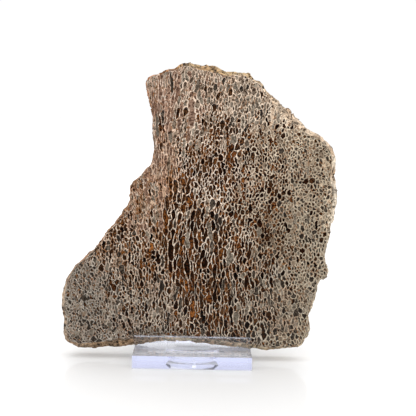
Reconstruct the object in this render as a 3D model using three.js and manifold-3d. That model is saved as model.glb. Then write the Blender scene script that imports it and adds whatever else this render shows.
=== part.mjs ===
// A polished slice of fossil dinosaur bone, leaning in a small clear moulded stand.
// Millimetres, +Z up, -Y towards the viewer. The origin is under the middle of the whole object.
import * as THREE from 'three';
import { mergeVertices } from 'three/addons/utils/BufferGeometryUtils.js';
import Module from 'manifold-3d';

// Slice of bone
const sliceThickness = 12;
const sliceRecline = 7; // degrees that the slice leans back
const sliceLift = 0.4; // foot of the outline above the slot floor, so that nothing touches
const rimDepths = [0, 1.5, 3, 5, 8, 10.5, sliceThickness]; // rings of the rim, from the polished face back
const pointsPerStretch = 2; // spline points between two outline points
const notchReach = 4; // points to either side that a direction out of the outline is taken from
const rimRoughness = 0.45;
const samePoint = 1e-4; // vertices closer than this are one
const leastChamferDepth = 0.6; // depth of the worn edge round the polished face
const chamferSlope = 0.6; // how much deeper it is for each millimetre of its width
const widestDepth = 3; // where the rim starts to draw in towards the sawn back
const sawnBackMargin = 1.8;

// Stand
const standWidth = 50.8;
const baseDepth = 50.8;
const baseThickness = 5.4;
const slotDrop = 0.4; // slot floor below the ledge
const ledgeDepth = 12.2; // shelf in front of the lip
const lipThickness = 2.6;
const lipHeight = 5.4;
const slotClearance = 0.4; // free room before and behind the slice
const restThickness = 3.2;
const restLength = 52;
const restWidth = 16;
const recessWidth = 23; // hollow under the base, between its two feet, open at the back
const recessTopWidth = 18.6;
const recessHeight = 2.2;
const bossRadius = 12.7; // round boss in the hollow
const bossSides = 48;
const bossGap = 0.2; // boss above what the feet stand on
const roundSides = 16;
const moulding = 1; // overlap of solids that are moulded as one

const slotFront = ledgeDepth + lipThickness;
const slotFloor = baseThickness - slotDrop;
const recline = THREE.MathUtils.degToRad(sliceRecline);
const slotBack = slotFront + 2 * slotClearance + sliceThickness / Math.cos(recline);
const upright = Math.PI / 2; // turn that stands a drawn outline up, facing the viewer

// Outline of the slice, seen square to its polished face: x across, y up from the slot floor.
// It starts at the lower left corner and runs up the left side, over the top and down the right.
const sliceOutline = [
  [-50.5, -0.9], [-55.5, 1.8], [-57, 5.5], [-56.5, 11], [-57.5, 17.5], [-57, 25.5], [-55, 30.5],
  [-52, 35.5], [-48, 39], [-43, 44], [-39.5, 49.5], [-35, 54.5], [-32.5, 58.5], [-29.5, 62.5],
  [-29, 67.5], [-28.5, 71.5], [-25.5, 74.5], [-22, 78.5], [-19.5, 81.5], [-18.5, 88], [-19.5, 96],
  [-20, 103], [-21.5, 109.5], [-23, 115.5], [-22.5, 117.5], [-20.5, 119.5], [-15.5, 121.5],
  [-10, 123.5], [-7.5, 125], [-4, 125.5], [-1, 125.5], [1.5, 124.5], [4.5, 125], [9, 124],
  [13, 122.5], [17, 122.5], [20, 122], [23, 121.5], [25.5, 119], [28, 117.5], [31, 113.5],
  [32.5, 112], [35.5, 110.5], [37, 108], [40, 107], [42.5, 104.5], [43, 102.5], [45.5, 101.5],
  [48, 98.5], [53, 95.5], [56, 93.5], [60.5, 88.5], [62, 82], [61.5, 75.5], [63, 69.5],
  [62.5, 65], [62, 61.5], [61.5, 58], [60, 55], [59.5, 48.5], [58.5, 45.5], [57.8, 42],
  [57.6, 39.5], [58.8, 37], [59.2, 33.5], [58.2, 31.8], [56, 30.8], [54.5, 28.5], [54, 23.5],
  [53, 20], [51.5, 17], [51, 14], [51.5, 10.5], [51, 7.5], [49.5, 5], [48, 2.5], [45, 0.8],
  [40, 0.4], [33, -0.3], [26, 0.4], [19.5, 0.9], [12, 1.4], [5, 2], [-3, 3], [-12.5, 3], [-19, 2],
  [-26.5, 0.5], [-37, -0.4], [-43.5, -1],
];

// Stretches where the rough outside of the bone shows beside the polished face.
const polishMargin = 0.5;
const roughStretches = [
  { x: 39, y: 105, reach: 8, width: 4 },
  { x: 50, y: 98, reach: 8, width: 1.5 },
  { x: 9, y: 123, reach: 17, width: 2.2 },
  { x: 62, y: 74, reach: 18, width: 2.1 },
  { x: -32, y: 0, reach: 24, width: 2.5 },
  { x: 12, y: 1, reach: 18, width: 1.8 },
];

const boneFinish = new THREE.MeshStandardMaterial({ color: 0x8a7160, roughness: 0.42, metalness: 0 });
const clearFinish = new THREE.MeshStandardMaterial({
  color: 0xe4e7fa, roughness: 0.05, metalness: 0, transparent: true, opacity: 0.45,
});

function outlineShape(points) {
  const [first, ...rest] = points.map(([x, y]) => new THREE.Vector2(x, y));
  const shape = new THREE.Shape();
  shape.moveTo(first.x, first.y);
  shape.splineThru([...rest, first]);
  return shape;
}

function polygonShape(points) {
  return new THREE.Shape(points.map(([x, y]) => new THREE.Vector2(x, y)));
}

// Unit vectors out of the outline, one for each of its points, that small notches don't turn.
function outwardNormals(points) {
  return points.map((point, i) => {
    const before = points.at(i - notchReach);
    const after = points[(i + notchReach) % points.length];
    return new THREE.Vector2(after.y - before.y, before.x - after.x).normalize();
  });
}

function marginAt(x, y) {
  return roughStretches.reduce((margin, stretch) => {
    const away = Math.hypot(x - stretch.x, y - stretch.y) / stretch.reach;
    return margin + stretch.width * Math.exp(-away * away);
  }, polishMargin);
}

// Broken bone: waves of no common length, so that they never line up, from -1 to 1.
function brokenWave(x, y, z) {
  const coarse = Math.sin(0.9 * x + 1.3 * y + 0.8 * z) * Math.cos(1.1 * y - 0.7 * x);
  const fine = Math.sin(2.3 * x - 1.9 * y + 1.7 * z);
  return 0.6 * coarse + 0.4 * fine;
}

// How far the rim stands out from the outline at a depth behind the polished face.
function rimOffset(x, y, depth) {
  const margin = marginAt(x, y);
  const chamferDepth = leastChamferDepth + chamferSlope * margin;
  const chamfer = margin * Math.max(0, 1 - depth / chamferDepth);
  const towardsBack = Math.max(0, depth - widestDepth) / (sliceThickness - widestDepth);
  const drawnIn = sawnBackMargin * towardsBack;
  const rough = depth > 0 && depth < sliceThickness ? rimRoughness * brokenWave(x, y, depth) : 0;
  return rough - chamfer - drawnIn;
}

// Triangles between two rings of points, one behind the other, that face away from their middle.
function rimTriangles(count, front, back) {
  return Array.from({ length: count }, (_, i) => {
    const next = (i + 1) % count;
    return [front + i, back + i, front + next, front + next, back + i, back + next];
  }).flat();
}

// The slice lies with its polished face at z = 0 facing +Z, and its body behind that.
function sliceGeometry() {
  const outline = outlineShape(sliceOutline).extractPoints(pointsPerStretch).shape.slice(0, -1);
  if (THREE.ShapeUtils.isClockWise(outline)) outline.reverse();
  const normals = outwardNormals(outline);
  const rings = rimDepths.map((depth) => outline.map((point, i) => (
    point.clone().addScaledVector(normals[i], rimOffset(point.x, point.y, depth))
  )));
  const count = outline.length;
  const last = rings.length - 1;
  const polished = THREE.ShapeUtils.triangulateShape(rings[0], []);
  const sawn = THREE.ShapeUtils.triangulateShape(rings[last], []);
  const rim = rimDepths.slice(1).map((_, i) => rimTriangles(count, i * count, (i + 1) * count));
  const geometry = new THREE.BufferGeometry();
  const corners = rings.flatMap((ring, i) => ring.flatMap(({ x, y }) => [x, y, -rimDepths[i]]));
  geometry.setAttribute('position', new THREE.Float32BufferAttribute(corners, 3));
  geometry.setIndex([
    ...polished.flat(),
    ...rim.flat(),
    ...sawn.flatMap((corner) => corner.toReversed().map((i) => last * count + i)),
  ]);
  return geometry;
}

function closedGeometry(geometry) {
  geometry.deleteAttribute('normal');
  geometry.deleteAttribute('uv');
  return mergeVertices(geometry, samePoint);
}

const wasm = await Module();
wasm.setup();

function toSolid(geometry, matrix = new THREE.Matrix4()) {
  const closed = closedGeometry(geometry.clone().applyMatrix4(matrix));
  const mesh = new wasm.Mesh({
    numProp: 3,
    vertProperties: closed.attributes.position.array,
    triVerts: new Uint32Array(closed.index.array),
  });
  return new wasm.Manifold(mesh);
}

function toGeometry(solid) {
  const { vertProperties, triVerts } = solid.getMesh();
  const geometry = new THREE.BufferGeometry();
  geometry.setAttribute('position', new THREE.BufferAttribute(vertProperties, 3));
  geometry.setIndex(new THREE.BufferAttribute(triVerts, 1));
  geometry.computeVertexNormals();
  return geometry;
}

// A side profile, y back and z up, pushed across the stand from its left to its right.
function acrossStand(profile, width) {
  const geometry = new THREE.ExtrudeGeometry(polygonShape(profile), { depth: width, bevelEnabled: false });
  const back = new THREE.Vector3(0, 1, 0);
  const up = new THREE.Vector3(0, 0, 1);
  const across = new THREE.Vector3(1, 0, 0);
  return toSolid(geometry, new THREE.Matrix4().makeBasis(back, up, across).setPosition(-width / 2, 0, 0));
}

function baseAndLip() {
  return acrossStand([
    [0, 0], [baseDepth, 0], [baseDepth, baseThickness], [slotBack, baseThickness],
    [slotBack, slotFloor], [slotFront, slotFloor],
    [slotFront, baseThickness + lipHeight], [ledgeDepth, baseThickness + lipHeight],
    [ledgeDepth, baseThickness], [0, baseThickness],
  ], standWidth);
}

// The rest leans with the slice, just behind its sawn back, and ends in a half circle.
function backRest() {
  const half = restWidth / 2;
  const shape = new THREE.Shape();
  shape.moveTo(-half, -moulding);
  shape.lineTo(half, -moulding);
  shape.lineTo(half, restLength - half);
  shape.absarc(0, restLength - half, half, 0, Math.PI);
  const geometry = new THREE.ExtrudeGeometry(shape, {
    depth: restThickness, curveSegments: roundSides, bevelEnabled: false,
  });
  geometry.translate(0, 0, -sliceThickness - 2 * slotClearance - restThickness);
  const leaning = new THREE.Matrix4().makeRotationX(upright - recline);
  return toSolid(geometry, leaning.setPosition(0, slotFront, baseThickness));
}

// The hollow starts under the lip and runs out through the back of the base.
function recessUnderBase() {
  const half = recessWidth / 2;
  const halfTop = recessTopWidth / 2;
  const section = [
    [-half, -moulding], [half, -moulding], [half, 0], [halfTop, recessHeight], [-halfTop, recessHeight],
    [-half, 0],
  ];
  const length = baseDepth - ledgeDepth + moulding;
  const geometry = new THREE.ExtrudeGeometry(polygonShape(section), { depth: length, bevelEnabled: false });
  const matrix = new THREE.Matrix4().makeRotationX(upright).setPosition(0, ledgeDepth + length, 0);
  return toSolid(geometry, matrix);
}

function roundBoss() {
  const height = recessHeight - bossGap + moulding;
  const geometry = new THREE.CylinderGeometry(bossRadius, bossRadius, height, bossSides);
  const middle = bossGap + height / 2;
  const matrix = new THREE.Matrix4().makeRotationX(upright).setPosition(0, baseDepth / 2, middle);
  return toSolid(geometry, matrix);
}

function standGeometry() {
  return toGeometry(baseAndLip().add(backRest()).subtract(recessUnderBase()).add(roundBoss()));
}

const slice = new THREE.Mesh(sliceGeometry(), boneFinish);
slice.name = 'fossil_bone_slice';
slice.position.set(0, slotFront + slotClearance, slotFloor + sliceLift);
slice.rotation.x = upright - recline;

const stand = new THREE.Mesh(standGeometry(), clearFinish);
stand.name = 'clear_stand';

const pieces = new THREE.Group();
pieces.add(slice, stand);
pieces.updateMatrixWorld(true);
const box = new THREE.Box3().setFromObject(pieces, true);
const middle = box.getCenter(new THREE.Vector3());
pieces.position.set(-middle.x, -middle.y, -box.min.z);

export default pieces;
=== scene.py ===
import math
import random

import bmesh
import bpy
import numpy as np
from mathutils import Matrix, Vector, noise
from mathutils.bvhtree import BVHTree
from mathutils.geometry import delaunay_2d_cdt
from mathutils.kdtree import KDTree


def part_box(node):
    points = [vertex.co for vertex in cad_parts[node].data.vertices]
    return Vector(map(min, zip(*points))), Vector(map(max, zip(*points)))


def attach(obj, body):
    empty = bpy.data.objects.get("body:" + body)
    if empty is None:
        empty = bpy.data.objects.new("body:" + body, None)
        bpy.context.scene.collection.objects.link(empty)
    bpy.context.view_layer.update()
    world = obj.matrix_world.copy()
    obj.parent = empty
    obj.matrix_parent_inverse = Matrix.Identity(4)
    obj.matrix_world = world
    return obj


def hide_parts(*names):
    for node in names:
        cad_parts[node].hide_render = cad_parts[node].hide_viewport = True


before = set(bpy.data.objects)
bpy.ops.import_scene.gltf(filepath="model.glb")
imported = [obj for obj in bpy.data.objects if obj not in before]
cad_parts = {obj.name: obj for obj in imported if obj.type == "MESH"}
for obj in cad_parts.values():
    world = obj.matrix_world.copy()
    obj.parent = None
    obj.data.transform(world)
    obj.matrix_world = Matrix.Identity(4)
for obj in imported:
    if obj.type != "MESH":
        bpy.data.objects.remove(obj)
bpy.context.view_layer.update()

mm = 0.001
standLow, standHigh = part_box("clear_stand")
standMiddle = (standLow + standHigh) / 2
print("frame loaded")


class Wire:
    # one output socket, so that node maths reads as plain arithmetic
    def __init__(self, paint, socket):
        self.paint = paint
        self.socket = socket

    def __add__(self, other):
        return self.paint.maths("ADD", self, other)

    def __radd__(self, other):
        return self.paint.maths("ADD", other, self)

    def __sub__(self, other):
        return self.paint.maths("SUBTRACT", self, other)

    def __rsub__(self, other):
        return self.paint.maths("SUBTRACT", other, self)

    def __mul__(self, other):
        return self.paint.maths("MULTIPLY", self, other)

    def __rmul__(self, other):
        return self.paint.maths("MULTIPLY", other, self)


class Paint:
    # the nodes of one material, or of the world
    def __init__(self, owner):
        owner.use_nodes = True
        self.tree = owner.node_tree
        self.tree.nodes.clear()

    def node(self, kind, settings=None, sockets=None, output=0):
        made = self.tree.nodes.new("ShaderNode" + kind)
        for name, value in (settings or {}).items():
            setattr(made, name, value)
        for name, value in (sockets or {}).items():
            if isinstance(value, Wire):
                self.tree.links.new(value.socket, made.inputs[name])
            else:
                made.inputs[name].default_value = value
        return Wire(self, made.outputs[output]) if made.outputs else None

    def maths(self, operation, first, second):
        return self.node("Math", {"operation": operation}, {0: first, 1: second})

    def blend(self, amount, first, second, how="MIX"):
        settings = {"data_type": "RGBA", "blend_type": how}
        return self.node("Mix", settings, {0: amount, 6: first, 7: second}, output=2)

    def between(self, value, low, high, newLow=0.0, newHigh=1.0):
        sockets = {"Value": value, 1: low, 2: high, 3: newLow, 4: newHigh}
        return self.node("MapRange", {"interpolation_type": "SMOOTHSTEP"}, sockets)

    def place(self):
        # object coordinates in millimetres
        coords = self.node("TexCoord", output="Object")
        return self.node("Mapping", {}, {"Vector": coords, "Scale": (1 / mm, 1 / mm, 1 / mm)})

    def noise(self, place, scale, detail, roughness, distortion=0.0):
        sockets = {"Vector": place, "Scale": scale, "Detail": detail, "Roughness": roughness}
        return self.node("TexNoise", {}, {**sockets, "Distortion": distortion})

    def attribute(self, name, output="Fac"):
        return self.node("Attribute", {"attribute_name": name}, output=output)


def linear(tint):
    # 0 to 255 as on a screen, to the linear colour that a shader takes
    parts = [min(v / 255, 1) for v in tint]
    return tuple(p / 12.92 if p <= 0.04045 else ((p + 0.055) / 1.055) ** 2.4 for p in parts)


def mixed(first, second, share):
    return [a + (b - a) * share for a, b in zip(first, second)]


def pieceFrom(bm, name, nodeName, material):
    mesh = bpy.data.meshes.new(name)
    bm.to_mesh(mesh)
    bm.free()
    mesh.materials.append(material)
    piece = bpy.data.objects.new(name, mesh)
    bpy.context.scene.collection.objects.link(piece)
    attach(piece, "root")
    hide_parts(nodeName)


# Millimetres on the polished face: x from the middle of the stand, y up from the slot floor. A drift is
# how fast something changes from place to place, and where in the noise it starts.
slab = {
    "seed": 11,
    "recline": 7,  # degrees
    "slotFront": 15.2,  # from the front of the stand to the polished face
    "slotFloor": 5.4,
    # where the pores are
    "tries": 90000,  # darts thrown for their seeds
    "mostSeeds": 9000,
    "seedSizes": (0.66, 2.2),  # of a pore, against the local spacing
    "rarity": 3,  # of the larger pores
    "edgeRoom": 0.75,  # between a seed and the outline
    "farWeight": 1000,  # how little a zone counts that is out of reach
    "patchiness": 0.2,  # of the spacing
    "patchDrift": (0.14, 60),
    "wander": 8,  # degrees that the grain leans one way or the other
    "wanderDrift": (0.09, 70),
    "lonePore": 6,  # square mm below which a landmark is one pore
    "loneReach": 1.25,  # of its width and height, within which the web follows it
    "loneRoom": 0.8,  # of its width, as the spacing round it
    "loneWall": 0.2,  # half of the wall round it
    "loneMove": 0.7,  # the most that a corner of its cell moves
    "flipSweeps": 5,
    "sawnCoarseness": 1.45,
    # the web
    "longestSide": 3,  # of a cell that may run into another
    "crossing": 1.5,  # how much more a wall runs across the grain than along it, if it may go
    "bigPore": 3.7,  # square mm from which an outline gets extra points
    "crookedness": 0.17,
    "waviness": 0.25,
    "raggedness": 0.08,
    "rounding": 0.1,
    "poreSizes": (0.88, 1.08),
    "leastRoom": 0.28,  # cells narrower than this stay solid bone
    "wallRange": (0.45, 1.55),  # from pore to pore
    "wallPatches": 0.3,
    "wallDrift": (0.4, 7),
    "wallStep": 0.04,
    "widestWall": 0.5,  # of the room in a cell
    "sinkInset": 0.05,  # width of the ring that becomes a sunk pore's side
    "sinkSlack": 1.4,  # how deep a narrow pore may be, against its room
    # the tints
    "gathering": 0.3,  # how much slower fillings change along the grain than across it
    "gatherDrift": (0.3, 9),
    "gatherPull": 1.3,  # how strongly like fillings gather
    "leastGather": 0.1,
    "rustyHollows": 0.55,  # chance that a hollow has rust on its sides
    "fillingShades": (0.84, 1.16),
    "warmBand": (150, 112, 92),
    "greyBand": (176, 168, 158),
    "bandDrift": (0.24, 40),
    "bandLength": 0.5,
    "strutShades": (0.8, 1.14),  # of the bone's tint, from strut to strut
    "stain": (120, 80, 48),  # what darkens the walls of the web
    "stainGather": 2,
    "stainShares": (0.4, 1),
    # the rim
    "faceSlack": 0.02,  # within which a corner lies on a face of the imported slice
    "rimRows": 10,
    "rayStart": 0.8,  # how far inside the web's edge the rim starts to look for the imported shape
    "rayReach": 7,
    "longEdge": 1.5,  # from which an edge of the rim is halved
    "rimBumps": 0.5,
    "edgeBumps": 0.3,
    "lumps": 0.28,
    "crumble": 0.95,
    "crumbleShare": 0.8,
    "rimMerges": 0.2,  # chance that two patches of the rim run together
    "rimShades": (0.85, 1.12),
    "rimFleck": 0.7,  # of the rim's own tint
    "crust": (150, 104, 66),
    "crustShare": 0.4,
    "crustDrift": (0.16, 90),
    "bareStone": (148, 134, 118),
    "bareShare": 0.5,
    "bareDrift": (0.22, 120),
    "pitChance": 0.34,
    "pitDrift": (0.3, 150),
    "leastPit": 0.25,
    "pitInset": 0.14,
    "pitDepth": (0.3, 1.0),
    "pitSlack": 1.6,
    # the pits' floors and their dark flecks are painted shade
    "pitPaintedShade": (0.35, 0.8),
    "pitShadeFleck": (40, 26, 18),
    "rimFlecks": 0.3,
    "rimFilled": 0.3,  # how much of the fillings' noise is in its flecks
    # the surface: a noise is its scale per mm, detail, roughness and, if any, distortion
    "wallNoise": (0.9, 4, 0.6),
    "fillNoise": (0.95, 2, 0.5, 0.5),
    "fleckPull": 0.24,  # how much the share of flecks widens them
    "fleckEdge": (0.57, 0.65),
    "grainNoise": (1.5, 4, 0.7),
    "grainEdge": (0.3, 0.7),
    "grainShades": (0.74, 1.24),
    # pale specks on the walls: partly pale bone, partly painted highlights of the polish
    "speckNoise": (0.8, 3, 0.6),
    "speckEdge": (0.6, 0.68),
    "paleSpeckAndGlintTint": (232, 222, 206),
    "speckShare": 0.5,
    "crumbleNoise": (2.6, 5, 0.75),
    "roughToPolished": (0.78, 0.13),
    "grainInPolish": 0.12,
    "polishEdge": (0.1, 1.1),
    "bumpStrength": 0.35,
    "bumpDepth": 0.4,  # mm
    "ior": 1.45,
    "specular": 0.35,
}
polishedFace, sawnFace, rimFace = 1, 2, 3

# Tints of the rough rim round the slice. The pale one low in the middle is painted light on the rim behind
# the lip.
rimTints = [
    {"at": (8, 124), "reach": 18, "tint": (196, 166, 124)},
    {"at": (-19, 117), "reach": 10, "tint": (176, 112, 68)},
    {"at": (-20, 90), "reach": 16, "tint": (162, 122, 92)},
    {"at": (-32, 60), "reach": 16, "tint": (170, 124, 88)},
    {"at": (-45, 40), "reach": 14, "tint": (160, 122, 94)},
    {"at": (-57, 18), "reach": 18, "tint": (186, 162, 138)},
    {"at": (-36, 0), "reach": 16, "tint": (156, 128, 98)},
    # painted light: the rim behind the clear lip is made pale, as if lit through the plastic
    {"at": (0, 2), "reach": 18, "tint": (250, 226, 192)},
    {"at": (34, 0), "reach": 16, "tint": (190, 170, 140)},
    {"at": (56, 24), "reach": 20, "tint": (196, 180, 156)},
    {"at": (61, 70), "reach": 22, "tint": (228, 212, 190)},
    {"at": (40, 104), "reach": 14, "tint": (228, 202, 174)},
]

# What the bone is like round a point: reach of the zone, spacing of the pores, how stretched they are and
# how many degrees they lean, wall between them, chance that two run together, how much of the bone is
# banded along the grain and how much of the web is stained, tint of the bone, and how often a pore holds
# rust, umber, smoke, slate, stone, clay or sand, or is hollow. What a zone leaves out is as usual.
usualZone = {"lean": 0, "joined": 0.1, "streak": 0.1, "stained": 0.1}
zones = {
    "neck": {
        "at": (-17, 101), "reach": (6, 26), "spacing": 0.95, "stretch": 5.0, "lean": 2, "wall": 0.36,
        "joined": 0.4, "streak": 0.85, "stained": 0.12, "bone": (200, 175, 156),
        "fills": {"clay": 54, "smoke": 28, "stone": 14, "slate": 3, "umber": 1},
    },
    "top": {
        "at": (6, 114), "reach": (12, 9), "spacing": 1.2, "stretch": 2.0, "lean": 4, "wall": 0.34,
        "joined": 0.2, "streak": 0.4, "stained": 0.12, "bone": (214, 190, 168),
        "fills": {"smoke": 40, "stone": 32, "slate": 5, "clay": 22, "umber": 1},
    },
    "top right": {
        "at": (24, 108), "reach": (12, 9), "spacing": 1.25, "stretch": 1.7, "lean": 8, "wall": 0.36,
        "joined": 0.15, "streak": 0.3, "bone": (220, 200, 178),
        "fills": {"smoke": 48, "stone": 38, "slate": 10, "umber": 4},
    },
    "pale edge": {
        "at": (41, 103.5), "reach": (6, 4.5), "spacing": 1.25, "stretch": 2.0, "lean": 55, "wall": 0.5,
        "joined": 0.2, "bone": (238, 218, 194), "fills": {"sand": 80, "clay": 8, "stone": 12},
    },
    "upper middle": {
        "at": (7, 95), "reach": (13, 9), "spacing": 1.15, "stretch": 1.9, "lean": 3, "wall": 0.34,
        "joined": 0.25, "streak": 0.2, "stained": 0.25, "bone": (216, 197, 178),
        "fills": {"umber": 30, "rust": 16, "smoke": 30, "stone": 16, "hollow": 5, "slate": 3},
    },
    "middle": {
        "at": (8, 78), "reach": (14, 10), "spacing": 1.25, "stretch": 1.8, "wall": 0.32, "joined": 0.25,
        "stained": 0.22, "bone": (212, 193, 176),
        "fills": {"rust": 36, "hollow": 22, "umber": 32, "smoke": 8, "slate": 2},
    },
    "pale cluster": {
        "at": (20, 60), "reach": (5, 9), "spacing": 1.1, "stretch": 1.3, "wall": 0.44, "joined": 0.05,
        "streak": 0, "stained": 0.15, "bone": (178, 162, 142),
        "fills": {"hollow": 44, "umber": 36, "rust": 8, "smoke": 12},
    },
    "middle right": {
        "at": (33, 82), "reach": (11, 13), "spacing": 1.12, "stretch": 1.4, "lean": 4, "wall": 0.4,
        "joined": 0.12, "stained": 0.15, "bone": (188, 170, 148),
        "fills": {"hollow": 32, "umber": 36, "rust": 6, "slate": 15, "smoke": 11},
    },
    "right": {
        "at": (51, 72), "reach": (11, 18), "spacing": 1.3, "stretch": 1.15, "wall": 0.6, "joined": 0.05,
        "stained": 0.05, "bone": (161, 146, 125),
        "fills": {"slate": 48, "smoke": 20, "stone": 8, "umber": 10, "hollow": 14},
    },
    "right foot": {
        "at": (49, 42), "reach": (10, 14), "spacing": 1.35, "stretch": 1.3, "lean": -4, "wall": 0.54,
        "joined": 0.08, "streak": 0.2, "stained": 0.06, "bone": (162, 149, 129),
        "fills": {"slate": 42, "smoke": 24, "stone": 8, "umber": 16, "hollow": 10},
    },
    "bulge": {
        "at": (-24, 65), "reach": (8, 11), "spacing": 0.95, "stretch": 2.0, "lean": -12, "wall": 0.38,
        "joined": 0.2, "streak": 0.6, "stained": 0.3, "bone": (198, 168, 143),
        "fills": {"clay": 46, "smoke": 28, "stone": 12, "rust": 6, "umber": 8},
    },
    "left slope": {
        "at": (-32, 45), "reach": (9, 10), "spacing": 1.15, "stretch": 1.8, "lean": -10, "wall": 0.38,
        "joined": 0.2, "streak": 0.3, "stained": 0.3, "bone": (200, 180, 161),
        "fills": {"umber": 40, "smoke": 14, "rust": 16, "slate": 20, "hollow": 10},
    },
    "brown wedges": {
        "at": (-4, 104), "reach": (6, 10), "spacing": 1.4, "stretch": 2.8, "lean": 6, "wall": 0.34,
        "joined": 0.3, "streak": 0.3, "stained": 0.15, "bone": (216, 197, 178),
        "fills": {"clay": 52, "umber": 3, "smoke": 26, "stone": 16, "slate": 3},
    },
    "rusty shoulder": {
        "at": (-14, 79), "reach": (4.5, 12), "spacing": 1.0, "stretch": 3.5, "wall": 0.36, "joined": 0.3,
        "streak": 0.15, "stained": 0.2, "bone": (200, 157, 125),
        "fills": {"clay": 58, "rust": 14, "umber": 8, "smoke": 12, "sand": 8},
    },
    "pale tangle": {
        "at": (6, 66), "reach": (5, 4.5), "spacing": 1.1, "stretch": 1.4, "lean": 10, "wall": 0.44,
        "streak": 0, "bone": (214, 198, 180), "fills": {"smoke": 30, "stone": 24, "umber": 30, "rust": 16},
    },
    "left of heart": {
        "at": (-13, 45), "reach": (6, 7), "spacing": 1.35, "stretch": 2.6, "lean": -3, "wall": 0.32,
        "joined": 0.3, "stained": 0.22, "bone": (192, 172, 152),
        "fills": {"rust": 30, "umber": 36, "hollow": 24, "slate": 10},
    },
    "grey web": {
        "at": (12, 51), "reach": (9, 8), "spacing": 1.7, "stretch": 2.0, "lean": 8, "wall": 0.3,
        "joined": 0.4, "stained": 0.2, "bone": (212, 195, 176),
        "fills": {"umber": 38, "slate": 30, "rust": 24, "hollow": 4, "stone": 4},
    },
    "left columns": {
        "at": (-25, 31), "reach": (9, 7), "spacing": 1.45, "stretch": 2.2, "lean": -6, "wall": 0.32,
        "joined": 0.3, "stained": 0.2, "bone": (176, 157, 138),
        "fills": {"rust": 28, "umber": 30, "hollow": 24, "slate": 16, "smoke": 2},
    },
    "right edge": {
        "at": (59, 66), "reach": (3, 14), "spacing": 1.2, "stretch": 1.2, "wall": 0.5,
        "bone": (196, 180, 156), "fills": {"stone": 30, "smoke": 28, "sand": 30, "slate": 12},
    },
    "pale shoulder": {
        "at": (42, 91), "reach": (7, 6), "spacing": 1.05, "stretch": 1.3, "wall": 0.5,
        "bone": (198, 182, 158), "fills": {"smoke": 34, "stone": 30, "umber": 20, "slate": 10, "hollow": 6},
    },
    "brown flank": {
        "at": (34, 52), "reach": (6, 9), "spacing": 1.2, "stretch": 1.5, "wall": 0.4, "stained": 0.2,
        "bone": (148, 132, 112), "fills": {"umber": 42, "slate": 22, "hollow": 14, "rust": 12, "smoke": 10},
    },
    "hem of foot": {
        "at": (-4, 12), "reach": (12, 7), "spacing": 1.1, "stretch": 2.2, "wall": 0.34, "joined": 0.3,
        "streak": 0.2, "bone": (196, 180, 162),
        "fills": {"rust": 24, "umber": 26, "hollow": 16, "slate": 16, "smoke": 14, "stone": 4},
    },
    "dark skirting": {
        "at": (-16, 5.5), "reach": (13, 2.5), "spacing": 0.95, "stretch": 0.6, "wall": 0.34, "streak": 0.2,
        "bone": (112, 105, 97), "fills": {"slate": 62, "umber": 18, "hollow": 10, "smoke": 10},
    },
    "heart": {
        "at": (0, 50), "reach": (15, 14), "spacing": 1.5, "stretch": 3.0, "wall": 0.31, "joined": 0.5,
        "stained": 0.22, "bone": (210, 193, 175),
        "fills": {"rust": 50, "hollow": 26, "umber": 20, "slate": 3, "smoke": 1},
    },
    "foot": {
        "at": (8, 24), "reach": (14, 15), "spacing": 1.4, "stretch": 3.0, "wall": 0.3, "joined": 0.5,
        "stained": 0.24, "bone": (190, 174, 157),
        "fills": {"rust": 48, "hollow": 32, "umber": 18, "slate": 2},
    },
    "right of foot": {
        "at": (28, 24), "reach": (10, 14), "spacing": 1.25, "stretch": 2.1, "lean": -3, "wall": 0.38,
        "joined": 0.2, "streak": 0.3, "bone": (168, 154, 136),
        "fills": {"slate": 38, "hollow": 24, "umber": 24, "rust": 6, "stone": 8},
    },
    "right corner": {
        "at": (44, 14), "reach": (9, 11), "spacing": 1.35, "stretch": 1.6, "lean": -8, "wall": 0.46,
        "streak": 0.3, "stained": 0.06, "bone": (160, 148, 128),
        "fills": {"slate": 40, "smoke": 26, "stone": 26, "umber": 8},
    },
    "left corner": {
        "at": (-46, 16), "reach": (13, 16), "spacing": 1.0, "stretch": 1.3, "lean": -18, "wall": 0.42,
        "joined": 0.2, "streak": 0.4, "stained": 0.07, "bone": (142, 133, 122),
        "fills": {"smoke": 18, "slate": 54, "stone": 20, "umber": 7, "hollow": 1},
    },
    "left of foot": {
        "at": (-24, 18), "reach": (11, 15), "spacing": 1.15, "stretch": 1.8, "lean": -4, "wall": 0.38,
        "joined": 0.25, "streak": 0.3, "bone": (174, 160, 145),
        "fills": {"umber": 22, "smoke": 22, "hollow": 14, "slate": 30, "stone": 12},
    },
}

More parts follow.
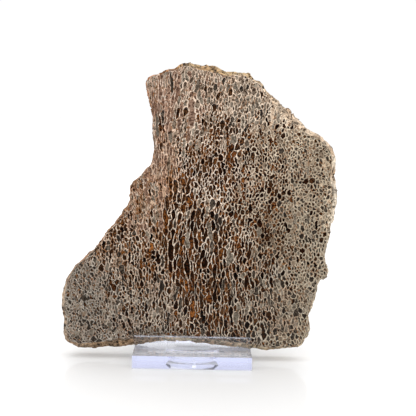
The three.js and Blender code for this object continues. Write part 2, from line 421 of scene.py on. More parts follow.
# Two ends of each filling's tint, the tint of its flecks and how much of it they take, and how much of the
# bone's own tint is in it. A filling that lies below the polish also has the tint of its sides, darker than
# its floor, partly as a dark lining and partly as painted shade in the recess, how far they slope in, and
# its depth.
fillings = {
    "rust": {"tints": ((84, 46, 19), (126, 76, 34)), "fleck": (36, 18, 7), "flecks": 0.45, "bone": 0,
             "side": (60, 32, 12), "slope": 0.14, "depth": (0.15, 0.6)},
    "umber": {"tints": ((56, 33, 15), (92, 60, 35)), "fleck": (30, 16, 7), "flecks": 0.4, "bone": 0,
              "side": (36, 20, 9), "slope": 0.2, "depth": (0.15, 0.6)},
    "slate": {"tints": ((54, 46, 38), (94, 84, 73)), "fleck": (36, 29, 24), "flecks": 0.4, "bone": 0,
              "side": (34, 26, 20), "slope": 0.2, "depth": (0.06, 0.2)},
    # painted shade: a hollow's near-black floor and sides stand for the dark of a deep hole, on top of its
    # real depth
    "hollow": {"tints": ((12, 6, 3), (30, 15, 6)), "fleck": (58, 30, 12), "flecks": 0.25, "bone": 0,
               "side": (30, 15, 6), "slope": 0.18, "depth": (0.8, 1.4)},
    "smoke": {"tints": ((92, 77, 63), (126, 108, 90)), "fleck": (64, 50, 39), "flecks": 0.4, "bone": 0.25},
    "stone": {"tints": ((100, 91, 80), (132, 122, 108)), "fleck": (80, 69, 58), "flecks": 0.35, "bone": 0.1},
    "clay": {"tints": ((100, 72, 57), (132, 102, 84)), "fleck": (82, 60, 48), "flecks": 0.4, "bone": 0.2},
    "sand": {"tints": ((176, 148, 120), (206, 180, 152)), "fleck": (138, 112, 90), "flecks": 0.35,
             "bone": 0.4},
}

# Pores that stand out: what they hold, then where each is, how wide and how long.
landmarkRows = [
    ("hollow", (2.7, 33.9, 1.7, 2.2), (6.2, 34.3, 1.8, 2.0), (2.5, 31.4, 1.7, 2.2), (6.2, 31.4, 1.8, 2.2),
     (20.0, 32.3, 1.4, 2.2), (20.1, 28.0, 1.2, 2.0), (25.6, 28.6, 2.6, 4.0), (-30.6, 25.5, 1.7, 1.9),
     (-21.8, 38.4, 1.8, 2.4), (-18.0, 39.4, 2.4, 2.0), (27.9, 71.0, 1.5, 2.0), (16.3, 79.0, 1.7, 1.6),
     (23.4, 77.3, 1.5, 1.6)),
    ("stone", (15.6, 40.3, 3.0, 8.0)),
    ("umber", (11.8, 39.6, 2.6, 5.5), (0.9, 40.5, 2.6, 4.5)),
    ("stone", (-2.2, 46.5, 4.2, 9.0), (36.2, 26.8, 2.4, 5.5)),
    ("slate", (41.3, 15.8, 1.8, 1.8), (43.0, 10.0, 1.9, 2.4), (3.9, 9.8, 1.9, 2.6), (16.7, 8.2, 2.2, 2.4),
     (-20.7, 10.4, 1.8, 1.8), (-47.7, 21.0, 3.4, 2.2), (-38.0, 43.0, 2.0, 2.6)),
    ("smoke", (19.1, 70.2, 2.8, 3.6)),
    ("slate", (42.8, 74.2, 1.8, 2.8), (45.9, 73.7, 1.7, 2.0)),
    ("umber", (33.8, 64.9, 2.6, 3.2)),
    ("rust", (35.0, 92.5, 1.6, 7.0), (32.5, 91.0, 1.4, 5.5), (13.3, 92.0, 1.1, 9.0)),
    ("stone", (15.9, 92.0, 2.2, 7.0)),
    ("clay", (-2.4, 103.0, 4.2, 16.0), (-10.2, 114.5, 3.0, 11.0)),
    ("stone", (-11.6, 93.5, 3.0, 9.0)),
    ("rust", (-1.5, 37.5, 2.4, 6.0)),
    ("umber", (3.7, 115.3, 2.0, 5.0)),
    ("stone", (0.4, 115.3, 1.8, 5.0), (16.3, 115.0, 2.6, 3.4), (-3.5, 57.8, 3.4, 3.2)),
    ("slate", (9.8, 51.0, 2.6, 3.6)),
    ("umber", (15.0, 52.0, 2.4, 3.4), (-7.2, 65.5, 2.4, 4.4)),
    ("rust", (-2.5, 63.5, 2.6, 3.4), (5.7, 55.6, 4.0, 2.6), (10.8, 44.0, 2.8, 5.0), (7.0, 22.0, 1.7, 8.0),
     (-5.5, 62.0, 2.2, 5.5)),
]
landmarks = [{"at": mark[:2], "size": mark[2:], "holds": kind}
             for kind, *marks in landmarkRows for mark in marks]

zoneNumbers = ("spacing", "stretch", "lean", "wall", "joined", "streak", "stained")
zoneTable = np.array([(*zone["at"], *zone["reach"], *({**usualZone, **zone}[key] for key in zoneNumbers),
                       *zone["bone"], *(zone["fills"].get(kind, 0) for kind in fillings))
                      for zone in zones.values()])
lonePores = [mark for mark in landmarks if mark["size"][0] * mark["size"][1] < slab["lonePore"]]
loneTable = np.array([(*mark["at"], *mark["size"]) for mark in lonePores])


def zoneAt(x, y):
    # the zones' numbers, mixed by how near each is
    away = (((zoneTable[:, :2] - (x, y)) / zoneTable[:, 2:4]) ** 2).sum(axis=1)
    shares = np.exp(-away) + 1 / (slab["farWeight"] * (1 + away))
    numbers = (shares @ zoneTable[:, 4:] / shares.sum()).tolist()
    here = dict(zip(zoneNumbers, numbers))
    here["bone"] = numbers[len(zoneNumbers):len(zoneNumbers) + 3]
    here["fills"] = numbers[len(zoneNumbers) + 3:]
    here["spacing"] *= 1 + slab["patchiness"] * drift(Vector((x, y, 0)), *slab["patchDrift"])
    here["lean"] += slab["wander"] * drift(Vector((x, y, 0)), *slab["wanderDrift"])
    # a lone pore gives the web its own shape around it
    off = np.hypot(*((loneTable[:, :2] - (x, y)) / loneTable[:, 2:]).T)
    nearest = off.argmin()
    width, height = loneTable[nearest, 2:]
    hold = math.exp(-(off[nearest] / slab["loneReach"]) ** 4)
    here["spacing"] += hold * (slab["loneRoom"] * width - here["spacing"])
    here["stretch"] += hold * (height / width - here["stretch"])
    here["lean"] *= 1 - hold
    return here


def flowMatrix(zone):
    # turns the local grain upright and shortens it, so that a stretched pore becomes a round one
    turn = math.radians(zone["lean"])
    c, s = math.cos(turn), math.sin(turn)
    return (c / zone["spacing"], -s / zone["spacing"],
            s / (zone["spacing"] * zone["stretch"]), c / (zone["spacing"] * zone["stretch"]))


def throwSeeds(outline, rng, coarseness):
    # seeds of the pores: first the lone landmarks, then darts that keep the local spacing
    low = [min(p[i] for p in outline) for i in range(2)]
    high = [max(p[i] for p in outline) for i in range(2)]
    rim = np.array(outline)
    following = np.roll(rim, -1, axis=0)
    rimAndMiddles = np.concatenate([rim, (rim + following) / 2])
    seeds = np.zeros((slab["mostSeeds"], 2))
    reaches = np.ones(slab["mostSeeds"])
    count = 0
    for mark in lonePores if coarseness == 1 else []:
        seeds[count] = mark["at"]
        count += 1
    for _ in range(slab["tries"]):
        x, y = rng.uniform(low[0], high[0]), rng.uniform(low[1], high[1])
        crossed = (rim[:, 1] > y) != (following[:, 1] > y)
        near, far = rim[crossed], following[crossed]
        if (x < near[:, 0] + (y - near[:, 1]) * (far - near)[:, 0] / (far - near)[:, 1]).sum() % 2 == 0:
            continue
        a, b, c, d = flowMatrix(zoneAt(x, y))
        away = seeds[:count] - (x, y)
        flat, tall = away[:, 0] * a + away[:, 1] * b, away[:, 0] * c + away[:, 1] * d
        smallest, largest = slab["seedSizes"]
        reach = coarseness * (smallest + (largest - smallest) * rng.random() ** slab["rarity"])
        if count and (np.hypot(flat, tall) * 2 - reaches[:count]).min() < reach:
            continue
        if np.hypot(*(rimAndMiddles - (x, y)).T).min() < slab["edgeRoom"]:
            continue
        seeds[count] = (x, y)
        reaches[count] = reach
        count += 1
    return [Vector(p) for p in seeds[:count]]


def stretchedAngle(corner, left, right, matrix):
    # the angle at a corner, seen with the grain made round
    def seen(p):
        dx, dy = p.x - corner.x, p.y - corner.y
        return Vector((matrix[0] * dx + matrix[1] * dy, matrix[2] * dx + matrix[3] * dy))
    return seen(left).angle(seen(right), 0)


def flipAlongGrain(bm):
    # Delaunay's own edge flips, measured along the grain
    for _ in range(slab["flipSweeps"]):
        flips = 0
        for edge in list(bm.edges):
            if not edge.is_valid or len(edge.link_faces) != 2:
                continue
            a, b = edge.verts
            far = [next(v for v in face.verts if v not in edge.verts) for face in edge.link_faces]
            middle = (a.co + b.co) / 2
            matrix = flowMatrix(zoneAt(middle.x, middle.y))
            if sum(stretchedAngle(v.co, a.co, b.co, matrix) for v in far) > math.pi + 0.001:
                flips += bmesh.utils.edge_rotate(edge, False) is not None
        if not flips:
            return


def dualMesh(mesh):
    # each seed becomes a cell round it, and the outline stays
    tree = bpy.data.node_groups.new("cells", "GeometryNodeTree")
    for way in ("INPUT", "OUTPUT"):
        tree.interface.new_socket("Geometry", in_out=way, socket_type="NodeSocketGeometry")
    start, end = tree.nodes.new("NodeGroupInput"), tree.nodes.new("NodeGroupOutput")
    dual = tree.nodes.new("GeometryNodeDualMesh")
    dual.inputs["Keep Boundaries"].default_value = True
    tree.links.new(start.outputs[0], dual.inputs[0])
    tree.links.new(dual.outputs[0], end.inputs[0])
    holder = bpy.data.objects.new("cells", mesh)
    bpy.context.scene.collection.objects.link(holder)
    holder.modifiers.new("cells", "NODES").node_group = tree
    made = bpy.data.meshes.new_from_object(holder.evaluated_get(bpy.context.evaluated_depsgraph_get()))
    bpy.data.objects.remove(holder)
    bpy.data.node_groups.remove(tree)
    return made


def network(outline, rng, coarseness):
    # the flat web of cells inside an outline
    seeds = throwSeeds(outline, rng, coarseness)
    points = [Vector(p) for p in outline]
    found = delaunay_2d_cdt(points + seeds, [], [list(range(len(points)))], 1, 1e-5)
    bm = bmesh.new()
    corners = [bm.verts.new((p.x, p.y, 0)) for p in found[0]]
    for face in found[2]:
        bm.faces.new([corners[i] for i in face])
    bmesh.ops.delete(bm, geom=[v for v in bm.verts if not v.link_faces], context="VERTS")
    flipAlongGrain(bm)
    mesh = bpy.data.meshes.new("web")
    bm.to_mesh(mesh)
    bm.free()
    return dualMesh(mesh)


def ringAt(bm, depth):
    # the corners of the outline at a depth behind the polished face, in order, anticlockwise
    def isOn(v):
        return abs(v.co.z + depth) < slab["faceSlack"]
    edges = [e for e in bm.edges if all(isOn(v) for v in e.verts)
             and any(not all(isOn(v) for v in face.verts) for face in e.link_faces)]
    nextTo = {}
    for edge in edges:
        for v in edge.verts:
            nextTo.setdefault(v, []).append(edge.other_vert(v))
    ring = [edges[0].verts[0], edges[0].verts[1]]
    while len(ring) < len(edges):
        ring.append(next(v for v in nextTo[ring[-1]] if v is not ring[-2]))
    points = [(v.co.x, v.co.y) for v in ring]
    area = sum(a[0] * b[1] - b[0] * a[1] for a, b in zip(points, points[1:] + points[:1]))
    return points if area > 0 else points[::-1]


def bumps(place, size):
    # broken bone: coarse lumps and a finer crumble, about -1 to 1 times the size
    coarse = noise.fractal(place * slab["lumps"], 1.0, 2.0, 2)
    fine = noise.fractal(place * slab["crumble"] + Vector((7, 3, 5)), 1.0, 2.0, 2)
    return size * (coarse + slab["crumbleShare"] * fine)


def makeRim(bm, place, solid):
    # the rough rim between the two faces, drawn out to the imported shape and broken
    loops = [e for e in bm.edges if e.is_boundary]
    ends = {v for e in loops for v in e.verts}
    bridge = bmesh.ops.bridge_loops(bm, edges=loops)
    for face in bridge["faces"]:
        face[place] = rimFace
    bmesh.ops.subdivide_edges(bm, edges=bridge["edges"], cuts=slab["rimRows"], use_grid_fill=True)
    bmesh.ops.recalc_face_normals(bm, faces=bm.faces)
    rim = [f for f in bm.faces if f[place] == rimFace]
    for v in {v for f in rim for v in f.verts} - ends:
        outward = Vector((v.normal.x, v.normal.y, 0)).normalized()
        hit = solid.ray_cast(v.co - slab["rayStart"] * outward, outward, slab["rayReach"])[0]
        if hit:
            v.co = hit
    longEdges = [e for e in {e for f in rim for e in f.edges} if e.calc_length() > slab["longEdge"]
                 and not all(v in ends for v in e.verts)]
    bmesh.ops.subdivide_edges(bm, edges=longEdges, cuts=1, use_grid_fill=True)
    bm.normal_update()
    rimVerts = {v for f in bm.faces if f[place] == rimFace for v in f.verts}
    for v in rimVerts:
        if v in ends:
            outward = Vector((v.normal.x, v.normal.y, 0)).normalized()
            v.co += outward * bumps(v.co, slab["edgeBumps"])
        else:
            v.co += v.normal * bumps(v.co, slab["rimBumps"])
    bm.normal_update()


def shapeLonePore(face, mark):
    # the corners of its cell go to the pore's own outline, half a wall further out
    for v in face.verts:
        dx, dy = v.co.x - mark["at"][0], v.co.y - mark["at"][1]
        reach = math.hypot(dx / mark["size"][0], dy / mark["size"][1]) * 2
        wanted = Vector((mark["at"][0] + dx / reach, mark["at"][1] + dy / reach, 0))
        wanted += slab["loneWall"] * Vector((dx, dy, 0)).normalized()
        move = wanted - v.co
        v.co += move * min(1, slab["loneMove"] / max(move.length, 1e-6))


def joinCells(bm, place, used, rng):
    # landmarks take all the cells they cover, and here and there two cells run together
    cells = [f for f in bm.faces if f[place] == polishedFace
             and all(e.calc_length() <= slab["longestSide"] for e in f.edges)]
    centres = {f: f.calc_center_median() for f in cells}
    for mark in landmarks:
        (x, y), (width, height) = mark["at"], mark["size"]
        covered = [f for f in cells if f.is_valid and f not in used
                   and math.hypot((centres[f].x - x) / (width / 2), (centres[f].y - y) / (height / 2)) < 1]
        if mark in lonePores:
            nearest = min(cells, key=lambda f: math.hypot(centres[f].x - x, centres[f].y - y))
            covered = [nearest] if nearest.is_valid else []
            for face in covered:
                shapeLonePore(face, mark)
        elif len(covered) > 1:
            covered = bmesh.ops.dissolve_faces(bm, faces=covered)["region"]
        for face in covered:
            used[face] = mark["holds"]
    walls = []
    taken = set(used)
    for edge in bm.edges:
        if len(edge.link_faces) != 2 or any(f[place] == rimFace or f in taken for f in edge.link_faces):
            continue
        middle = (edge.verts[0].co + edge.verts[1].co) / 2
        here = zoneAt(middle.x, middle.y)
        a, b, c, d = flowMatrix(here)
        along = edge.verts[1].co - edge.verts[0].co
        across, lengthwise = abs(a * along.x + b * along.y), abs(c * along.x + d * along.y)
        if across > slab["crossing"] * lengthwise and rng.random() < here["joined"]:
            walls.append(edge)
            taken.update(edge.link_faces)
    bmesh.ops.dissolve_edges(bm, edges=walls)


def shake(v, amount, rng):
    v.co += Vector((rng.gauss(0, amount), rng.gauss(0, amount), 0))


def crookedWalls(bm, place, rng):
    # the web's corners move a little, and long walls get a bend
    bm.edges.index_update()
    inner = [v for v in bm.verts if all(f[place] != rimFace for f in v.link_faces)]
    long = [e for e in bm.edges if all(f[place] == polishedFace for f in e.link_faces)
            and any(f.calc_area() > slab["bigPore"] for f in e.link_faces)]
    for v in inner:
        shake(v, slab["crookedness"], rng)
    for edge in long:
        shake(bmesh.utils.edge_split(edge, edge.verts[0], 0.5)[1], slab["waviness"], rng)


def roundPore(face, rng):
    # a pore's outline: corners drawn in, and a little smaller or larger than its cell asks
    middle = face.calc_center_median()
    old = [v.co.copy() for v in face.verts]
    size = rng.uniform(*slab["poreSizes"])
    for i, v in enumerate(face.verts):
        between = (old[i - 1] + old[(i + 1) % len(old)]) / 2
        v.co = middle.lerp(v.co.lerp(between, slab["rounding"]), size)
        shake(v, slab["raggedness"], rng)


def roomIn(face):
    # about the radius of the circle that fits in a face
    return 2 * face.calc_area() / face.calc_perimeter()


def drift(place, scale, start):
    # slow change from place to place
    return 1.6 * noise.noise(place * scale + Vector((start, 3 * start, 0)))  # about -1 to 1


def streaked(here, centre):
    # the bone's tint, with bands along the grain: purple-brown one way and grey the other
    a, b, c, d = flowMatrix(here)
    along = slab["bandLength"] * (c * centre.x + d * centre.y)
    band = drift(Vector((a * centre.x + b * centre.y, along, 0)), *slab["bandDrift"])
    tone = slab["warmBand"] if band < 0 else slab["greyBand"]
    return mixed(here["bone"], tone, min(1, abs(band)) * here["streak"])


def gathered(centre, i):
    # like fillings gather in streaks along the grain; i is the filling's number
    scale, step = slab["gatherDrift"]
    return drift(Vector((centre.x, slab["gathering"] * centre.y, 0)), scale, step * i)


def pickFilling(here, centre, rng):
    weights = [share * max(slab["leastGather"], 1 + slab["gatherPull"] * gathered(centre, i))
               for i, share in enumerate(here["fills"])]
    return rng.choices(list(fillings), weights)[0]


def paintStruts(rings, layers, rng):
    # each side of each wall has its own tint, so that the web breaks up into struts
    for face in rings:
        centre = face.calc_center_median()
        here = zoneAt(centre.x, centre.y)
        shade = rng.uniform(*slab["strutShades"])
        bone = [shade * part for part in streaked(here, centre)]
        if rng.random() < here["stained"] * max(0, 1 + slab["stainGather"] * gathered(centre, 0)):
            bone = mixed(bone, slab["stain"], rng.uniform(*slab["stainShares"]))
        paintFace(face, layers, bone, slab["stain"], here["stained"], 0, face[layers["polish"]])


def makePores(bm, layers, rng):
    place = layers["place"]
    used = {}
    joinCells(bm, place, used, rng)
    crookedWalls(bm, place, rng)
    pores = []
    groups = {}
    for face in bm.faces:
        if face[place] == rimFace:
            continue
        centre = face.calc_center_median()
        here = zoneAt(centre.x, centre.y)
        bone = streaked(here, centre)
        polish = 1 if face[place] == polishedFace else 0
        paintFace(face, layers, bone, slab["stain"], here["stained"], 0, polish)
        room = roomIn(face)
        if room < slab["leastRoom"]:
            continue
        wall = here["wall"] / 2 * rng.uniform(*slab["wallRange"])
        wall *= 1 + slab["wallPatches"] * drift(centre, *slab["wallDrift"])
        step = slab["wallStep"]
        groups.setdefault(round(min(wall, slab["widestWall"] * room) / step) * step, []).append(face)
        pores.append((face, used.get(face) or pickFilling(here, centre, rng), bone))
    for wall, members in sorted(groups.items()):
        rings = bmesh.ops.inset_individual(bm, faces=members, thickness=wall)["faces"]
        paintStruts(rings, layers, rng)
    sunk = []
    for face, kind, bone in pores:
        roundPore(face, rng)
        filling = fillings[kind]
        if "depth" in filling and (kind == "hollow" or face[place] == polishedFace):
            # the sides take the darker side tint: partly a dark lining, partly painted shade in the recess;
            # a rusty hollow's sides are rust
            side = filling["side"]
            if kind == "hollow" and face not in used and rng.random() < slab["rustyHollows"]:
                side = fillings["rust"]["tints"][0]
            paintFace(face, layers, side, filling["fleck"], filling["flecks"], 1, face[layers["polish"]])
            sunk.append(face)
    bmesh.ops.inset_individual(bm, faces=sunk, thickness=slab["sinkInset"])
    sunk = set(sunk)
    for face, kind, bone in pores:
        filling = fillings[kind]
        if face in sunk:
            drop = rng.uniform(*filling["depth"]) * min(1, slab["sinkSlack"] * roomIn(face))
            step = Vector((0, 0, -drop if face[place] == polishedFace else drop))
            middle = face.calc_center_median()
            for v in face.verts:
                v.co = v.co.lerp(middle, filling["slope"]) + step
        shade = rng.uniform(*slab["fillingShades"])
        body = [shade * part for part in mixed(*filling["tints"], rng.random())]
        paintFace(face, layers, mixed(body, bone, filling["bone"]), filling["fleck"], filling["flecks"], 1,
                  face[layers["polish"]])


def paintFace(face, layers, tint, fleck, flecks, filled, polish):
    face[layers["tint"]] = (*linear(tint), filled)
    face[layers["fleck"]] = (*linear(fleck), flecks)
    face[layers["polish"]] = polish


def rimTintAt(point):
    # patches of crust and of bare stone over the tints round the rim
    shares = []
    for patch in rimTints:
        away = (point.x - patch["at"][0]) ** 2 + (point.y - patch["at"][1]) ** 2
        shares.append((math.exp(-away / patch["reach"] ** 2) + 1e-6, patch["tint"]))
    total = sum(share for share, _ in shares)
    tint = [sum(share * part[i] for share, part in shares) / total for i in range(3)]
    crust = min(1, max(0, slab["crustShare"] * drift(point, *slab["crustDrift"])))
    bare = min(1, max(0, slab["bareShare"] * drift(point, *slab["bareDrift"])))
    return mixed(mixed(tint, slab["crust"], crust), slab["bareStone"], bare)


def makeRimPits(bm, layers, rng):
    rim = [f for f in bm.faces if f[layers["place"]] == rimFace]
    merges = []
    taken = set()
    for face in rim:
        for edge in face.edges:
            if rng.random() < slab["rimMerges"] and not taken & set(edge.link_faces):
                if all(f[layers["place"]] == rimFace for f in edge.link_faces):
                    merges.append(edge)
                    taken.update(edge.link_faces)
    bmesh.ops.dissolve_edges(bm, edges=merges)
    rim = [f for f in bm.faces if f[layers["place"]] == rimFace]
    for face in rim:
        shade = rng.uniform(*slab["rimShades"])
        tint = [shade * part for part in rimTintAt(face.calc_center_median())]
        fleck = [slab["rimFleck"] * part for part in tint]
        paintFace(face, layers, tint, fleck, slab["rimFlecks"], slab["rimFilled"], 0)
        face.smooth = True
    pits = []
    for face in rim:
        chance = slab["pitChance"] * (1 + drift(face.calc_center_median(), *slab["pitDrift"]))
        if rng.random() < chance and roomIn(face) > slab["leastPit"]:
            pits.append(face)
    bmesh.ops.inset_individual(bm, faces=pits, thickness=slab["pitInset"])
    for face in pits:
        # each pit sinks in, and its floor is painted darker than the rim round it, with dark flecks: painted
        # shade in the recess
        inward = -face.normal * rng.uniform(*slab["pitDepth"])
        inward *= min(1, slab["pitSlack"] * roomIn(face))
        shade = rng.uniform(*slab["pitPaintedShade"])
        tint = [shade * part for part in rimTintAt(face.calc_center_median())]
        paintFace(face, layers, tint, slab["pitShadeFleck"], slab["rimFlecks"], 1, 0)
        for v in face.verts:
            v.co += inward


# The corner of each map, the point in mm that lies there, and how many mm the map's unit holds.
sliceMaps = {
    "polished": {"corner": (0.01, 0.34), "from": (-62, -3), "unit": 200},
    "sawn": {"corner": (0.655, 0.62), "from": (62, -3), "unit": 370},
    "rim": {"corner": (0.01, 0.09), "unit": 190, "rowLength": 180, "rowStep": 0.1},
}


def mapSlice(bm, place, outline):
    # flat maps for the two faces, and under them the rim unrolled in rows
    uv = bm.loops.layers.uv.new("OFBake")
    steps = [0.0]
    for a, b in zip(outline, outline[1:] + outline[:1]):
        steps.append(steps[-1] + math.hypot(b[0] - a[0], b[1] - a[1]))
    tree = KDTree(len(outline))
    for i, p in enumerate(outline):
        tree.insert((p[0], p[1], 0), i)
    tree.balance()
    front, back, rim = sliceMaps["polished"], sliceMaps["sawn"], sliceMaps["rim"]
    for face in bm.faces:
        if face[place] == rimFace:
            along = [steps[tree.find((loop.vert.co.x, loop.vert.co.y, 0))[1]] for loop in face.loops]
            if max(along) - min(along) > steps[-1] / 2:
                along = [s + steps[-1] if s < steps[-1] / 2 else s for s in along]
            row = int(min(along) // rim["rowLength"])
            for loop, s in zip(face.loops, along):
                u = rim["corner"][0] + (s - row * rim["rowLength"]) / rim["unit"]
                v = rim["corner"][1] + rim["rowStep"] * row + loop.vert.co.z / rim["unit"]
                loop[uv].uv = (u, v)
            continue
        flat, way = (front, 1) if face[place] == polishedFace else (back, -1)
        for loop in face.loops:
            u = flat["corner"][0] + way * (loop.vert.co.x - flat["from"][0]) / flat["unit"]
            v = flat["corner"][1] + (loop.vert.co.y - flat["from"][1]) / flat["unit"]
            loop[uv].uv = (u, v)


def makeSlice():
    cad = bmesh.new()
    cad.from_mesh(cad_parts["fossil_bone_slice"].data)
    bmesh.ops.remove_doubles(cad, verts=cad.verts, dist=1e-6)
    corner = Vector((standMiddle.x, standLow.y + slab["slotFront"] * mm, slab["slotFloor"] * mm))
    lean = Matrix.Rotation(math.radians(90 - slab["recline"]), 4, "X")
    toWorld = Matrix.Translation(corner) @ lean @ Matrix.Diagonal((mm, mm, mm, 1))
    bmesh.ops.transform(cad, matrix=toWorld.inverted(), verts=cad.verts)
    cad.normal_update()
    thickness = -min(v.co.z for v in cad.verts)
    rng = random.Random(slab["seed"])
    bm = bmesh.new()
    layers = {
        "place": bm.faces.layers.int.new("place"),
        "tint": bm.faces.layers.float_color.new("boneTint"),
        "fleck": bm.faces.layers.float_color.new("fleckTint"),
        "polish": bm.faces.layers.float.new("polish"),
    }
    outline = ringAt(cad, 0)
    for side, depth, coarseness in ((polishedFace, 0, 1), (sawnFace, thickness, slab["sawnCoarseness"])):
        web = network(ringAt(cad, depth), rng, coarseness)
        web.transform(Matrix.Translation((0, 0, -depth)))
        before = len(bm.faces)
        bm.from_mesh(web)
        bm.faces.ensure_lookup_table()
        for face in bm.faces[before:]:
            face[layers["place"]] = side
        print("cells made:", len(bm.faces) - before)
    makeRim(bm, layers["place"], BVHTree.FromBMesh(cad))
    makePores(bm, layers, rng)
    makeRimPits(bm, layers, rng)
    mapSlice(bm, layers["place"], outline)
    bmesh.ops.transform(bm, matrix=toWorld, verts=bm.verts)
    cad.free()
    print("triangles in the slice:", sum(len(f.verts) - 2 for f in bm.faces))
    pieceFrom(bm, "polished_bone_slice", "fossil_bone_slice", boneMaterial())


def boneMaterial():
    # web and fillings are painted face by face; noise breaks them up into flecks, grain and pale specks, the
    # specks partly painted highlights
    material = bpy.data.materials.new("polished fossil bone")
    paint = Paint(material)
    place = paint.place()
    tint = paint.attribute("boneTint", "Color")
    filled = paint.attribute("boneTint", "Alpha")
    fleck = paint.attribute("fleckTint", "Color")
    flecks = paint.attribute("fleckTint", "Alpha")
    polish = paint.attribute("polish")
    wallPatches = paint.noise(place, *slab["wallNoise"])
    fillPatches = paint.noise(place, *slab["fillNoise"])
    patches = wallPatches + filled * (fillPatches - wallPatches)
    mask = paint.between(patches + slab["fleckPull"] * flecks, *slab["fleckEdge"])
    grain = paint.noise(place, *slab["grainNoise"])
    shade = paint.between(grain, *slab["grainEdge"], *slab["grainShades"])
    grey = paint.node("CombineColor", {}, {0: shade, 1: shade, 2: shade})
    colour = paint.blend(1.0, paint.blend(mask, tint, fleck), grey, "MULTIPLY")
    # pale specks on the walls: partly pale bone, partly painted glints of the polish
    paleSpecksAndGlints = paint.between(paint.noise(place, *slab["speckNoise"]), *slab["speckEdge"]) * (1 - filled)
    colour = paint.blend(paleSpecksAndGlints * slab["speckShare"], colour, (*linear(slab["paleSpeckAndGlintTint"]), 1))
    crumble = paint.noise(place, *slab["crumbleNoise"])
    evenness = polish + slab["grainInPolish"] * grain
    roughness = paint.between(evenness, *slab["polishEdge"], *slab["roughToPolished"])
    bump = paint.node("Bump", {}, {
        "Strength": slab["bumpStrength"], "Distance": slab["bumpDepth"] * mm,
        "Height": crumble * (1 - polish),
    })
    surface = paint.node("BsdfPrincipled", {}, {
        "Base Color": colour, "Roughness": roughness, "Normal": bump, "IOR": slab["ior"],
        "Specular IOR Level": slab["specular"],
    })
    paint.node("OutputMaterial", {}, {"Surface": surface})
    return material


makeSlice()
print("slice made")

clearStand = {
    "edgeRound": 0.35,  # mm
    "edgeSteps": 3,
    "sharpEdge": 30,  # degrees between two faces from which their edge is rounded
    "flat": 0.5,  # degrees within which triangles make one face
    "tint": (0.72, 0.76, 0.98),
    "density": 25,
    "ior": 1.49,
}


def clearMaterial():
    material = bpy.data.materials.new("clear acrylic")
    paint = Paint(material)
    surface = paint.node("BsdfPrincipled", {}, {
        "Base Color": (1, 1, 1, 1), "Roughness": 0.0, "IOR": clearStand["ior"], "Transmission Weight": 1.0,
    })
    volume = paint.node("VolumeAbsorption", {}, {
        "Color": (*clearStand["tint"], 1), "Density": clearStand["density"],
    })
    paint.node("OutputMaterial", {}, {"Surface": surface, "Volume": volume})
    return material


def makeStand():
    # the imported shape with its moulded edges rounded, so that they catch the light
    bm = bmesh.new()
    bm.from_mesh(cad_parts["clear_stand"].data)
    bmesh.ops.remove_doubles(bm, verts=bm.verts, dist=1e-6)
    flat = math.radians(clearStand["flat"])
    bmesh.ops.dissolve_limit(bm, angle_limit=flat, verts=bm.verts, edges=bm.edges)
    sharp = [e for e in bm.edges if e.calc_face_angle(0) > math.radians(clearStand["sharpEdge"])]
    rounded = bmesh.ops.bevel(bm, geom=sharp, affect="EDGES", offset=clearStand["edgeRound"] * mm,
                              segments=clearStand["edgeSteps"], profile=0.5, material=-1, clamp_overlap=True)
    for face in rounded["faces"]:
        face.smooth = True
    pieceFrom(bm, "moulded_clear_stand", "clear_stand", clearMaterial())


makeStand()
print("stand made")

studio = {
    "floorTint": 0.9,
    "floorHalf": 6,  # metres
    "floorDrop": 0.02,  # mm under the stand, so that the two don't touch
    "floorRoughness": 0.6,
    "floorSpecular": 0.2,
    "floorSheen": 0.4,  # close to the object
    "sheenReach": (120, 320),  # mm from the middle, over which it fades
    "sheenBlur": 0.08,
    "sky": 1.02,  # as the camera sees it
    "frontSky": 1.46,  # on the surfaces that it lights
    "backSky": 0.9,
    "glossTurn": 0.4,  # how soon a gloss turns from the front of the room to its back
    "frontInGloss": 0.02,
    "backInGloss": 1.08,
    "throughTurn": (0.2, 0.8),
    "skyThroughPlastic": (1.02, 2.8),  # from low down to overhead
    # place and aim in metres, power in watts
    "overhead": {"at": (0, 0, 0.9), "aim": (0, 0.02, 0.03), "size": 0.8, "power": 0.8},
    "backdrop": {"at": (0, 1.0, 0.9), "aim": (0, 0.9, 0), "size": 1.2, "power": 5},
}

viewpoint = {
    "fromStand": (0.0022, -0.4142),  # from the middle of the stand's front edge
    "height": 0.1124,
    "tilt": 84,  # degrees up from straight down
    "turn": -0.45,
    "roll": 1.18,
    "sensor": 36,
    "lens": 86.54,
    "nearest": 0.01,
}


def makeFloor():
    bm = bmesh.new()
    bmesh.ops.create_grid(bm, x_segments=1, y_segments=1, size=studio["floorHalf"])
    mesh = bpy.data.meshes.new("floor")
    bm.to_mesh(mesh)
    bm.free()
    material = bpy.data.materials.new("pale floor")
    paint = Paint(material)
    away = paint.node("VectorMath", {"operation": "LENGTH"}, {0: paint.place()}, output="Value")
    sheen = paint.between(away, *studio["sheenReach"], studio["floorSheen"], 0)
    surface = paint.node("BsdfPrincipled", {}, {
        "Base Color": (*(studio["floorTint"],) * 3, 1), "Roughness": studio["floorRoughness"],
        "Specular IOR Level": studio["floorSpecular"], "Coat Weight": sheen,
        "Coat Roughness": studio["sheenBlur"],
    })
    paint.node("OutputMaterial", {}, {"Surface": surface})
    mesh.materials.append(material)
    floor = bpy.data.objects.new("floor", mesh)
    floor.location.z = -studio["floorDrop"] * mm
    bpy.context.scene.collection.objects.link(floor)


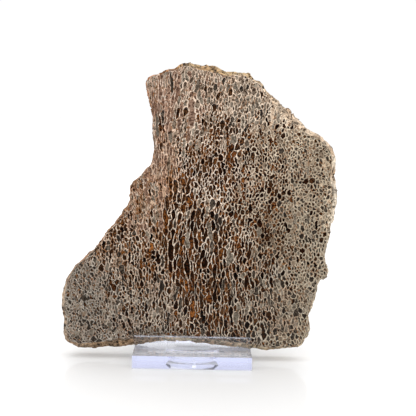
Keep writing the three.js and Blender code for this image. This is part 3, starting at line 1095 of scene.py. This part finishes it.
def makeSky():
    # white all round and brightest in front, but a gloss sees the dim front of the room, and what shines
    # through the plastic is brightest overhead
    world = bpy.data.worlds.new("studio")
    sky = Paint(world)
    direction = sky.node("TexCoord", output="Generated")
    away = sky.node("SeparateXYZ", {}, {"Vector": direction}, output="Y")
    up = sky.node("SeparateXYZ", {}, {"Vector": direction}, output="Z")
    lighting = sky.between(away, -1, 1, studio["frontSky"], studio["backSky"])
    turn = studio["glossTurn"]
    mirrored = sky.between(away, -turn, turn, studio["frontInGloss"], studio["backInGloss"])
    through = sky.between(up, *studio["throughTurn"], *studio["skyThroughPlastic"])
    isGloss = sky.node("LightPath", output="Is Glossy Ray")
    isSeen = sky.node("LightPath", output="Is Camera Ray")
    isThrough = sky.node("LightPath", output="Is Transmission Ray")
    strength = isGloss * mirrored + (1 - isGloss) * lighting
    strength = isThrough * through + (1 - isThrough) * strength
    strength = isSeen * studio["sky"] + (1 - isSeen) * strength
    background = sky.node("Background", {}, {"Color": (1, 1, 1, 1), "Strength": strength})
    sky.node("OutputWorld", {}, {"Surface": background})
    bpy.context.scene.world = world


def makeSoftbox(name):
    box = studio[name]
    light = bpy.data.lights.new(name + " softbox", "AREA")
    light.size = box["size"]
    light.energy = box["power"]
    lamp = bpy.data.objects.new(name + " softbox", light)
    lamp.location = box["at"]
    lamp.rotation_euler = (Vector(box["aim"]) - Vector(box["at"])).to_track_quat("-Z", "Y").to_euler()
    bpy.context.scene.collection.objects.link(lamp)


def makeCamera():
    data = bpy.data.cameras.new("camera")
    data.sensor_width = viewpoint["sensor"]
    data.lens = viewpoint["lens"]
    data.clip_start = viewpoint["nearest"]
    camera = bpy.data.objects.new("camera", data)
    side, front = viewpoint["fromStand"]
    place = Matrix.Translation((standMiddle.x + side, standLow.y + front, viewpoint["height"]))
    turn = Matrix.Rotation(math.radians(viewpoint["turn"]), 4, "Z")
    tilt = Matrix.Rotation(math.radians(viewpoint["tilt"]), 4, "X")
    roll = Matrix.Rotation(math.radians(viewpoint["roll"]), 4, "Z")
    camera.matrix_world = place @ (turn @ tilt @ roll)
    bpy.context.scene.collection.objects.link(camera)
    bpy.context.scene.camera = camera


makeFloor()
makeSky()
makeSoftbox("overhead")
makeSoftbox("backdrop")
makeCamera()
bpy.context.scene.view_settings.view_transform = "Standard"
print("studio set")
